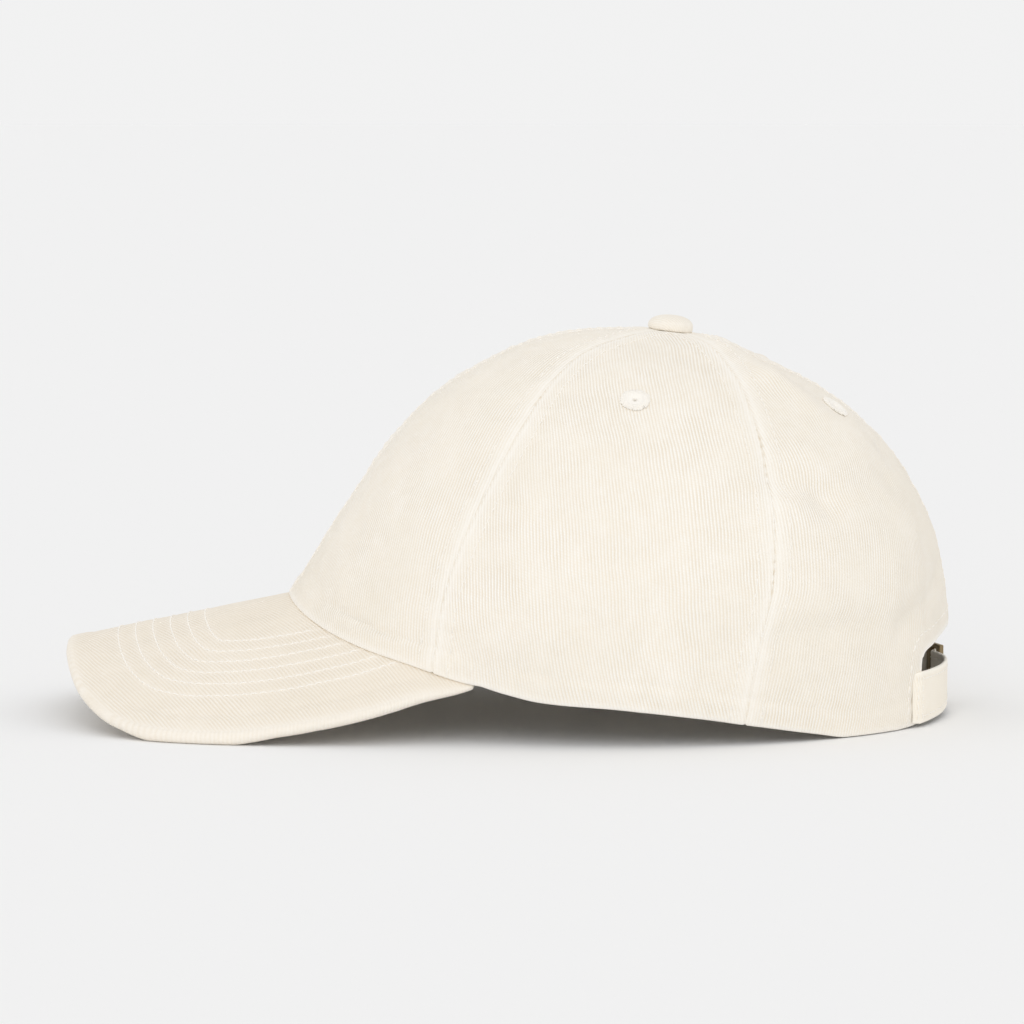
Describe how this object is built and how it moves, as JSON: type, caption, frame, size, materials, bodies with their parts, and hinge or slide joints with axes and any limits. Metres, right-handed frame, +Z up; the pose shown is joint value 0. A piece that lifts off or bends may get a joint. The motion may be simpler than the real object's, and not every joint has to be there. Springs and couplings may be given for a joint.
{
  "type": "six-panel soft cap with a curved brim",
  "caption": "Soft cotton cap with a domed six-panel crown, vent eyelets, a curved stitched brim and a buckled back strap.",
  "frame": {"origin": "middle of the bounding box in plan, on the surface the cap rests on", "axes": "+X is the wearer's left, -Y is the way the brim points, +Z is up"},
  "size_m": [0.1678, 0.2751, 0.1239],
  "materials": {
    "crown_front_left": "cream cotton twill",
    "crown_front_right": "cream cotton twill",
    "crown_side_left": "cream cotton twill",
    "crown_side_right": "cream cotton twill",
    "crown_back_left": "cream cotton twill",
    "crown_back_right": "cream cotton twill",
    "brim": "cream cotton twill, six stitched rows",
    "top_button": "cloth-covered button",
    "eyelet_side_left": "cream embroidery thread",
    "eyelet_side_right": "cream embroidery thread",
    "eyelet_back_left": "cream embroidery thread",
    "eyelet_back_right": "cream embroidery thread",
    "strap_long": "cream cotton twill",
    "strap_tab": "cream cotton twill",
    "strap_buckle": "plain aged brass"
  },
  "bodies": {
    "root": {"crown_front_left": "crown_front_left", "crown_front_right": "crown_front_right", "crown_side_left": "crown_side_left", "crown_side_right": "crown_side_right", "crown_back_left": "crown_back_left", "crown_back_right": "crown_back_right", "brim": "brim", "top_button": "top_button", "eyelet_side_left": "eyelet_side_left", "eyelet_side_right": "eyelet_side_right", "eyelet_back_left": "eyelet_back_left", "eyelet_back_right": "eyelet_back_right", "strap_long": "strap_long", "strap_tab": "strap_tab", "strap_buckle": "strap_buckle"}
  },
  "joints": []
}
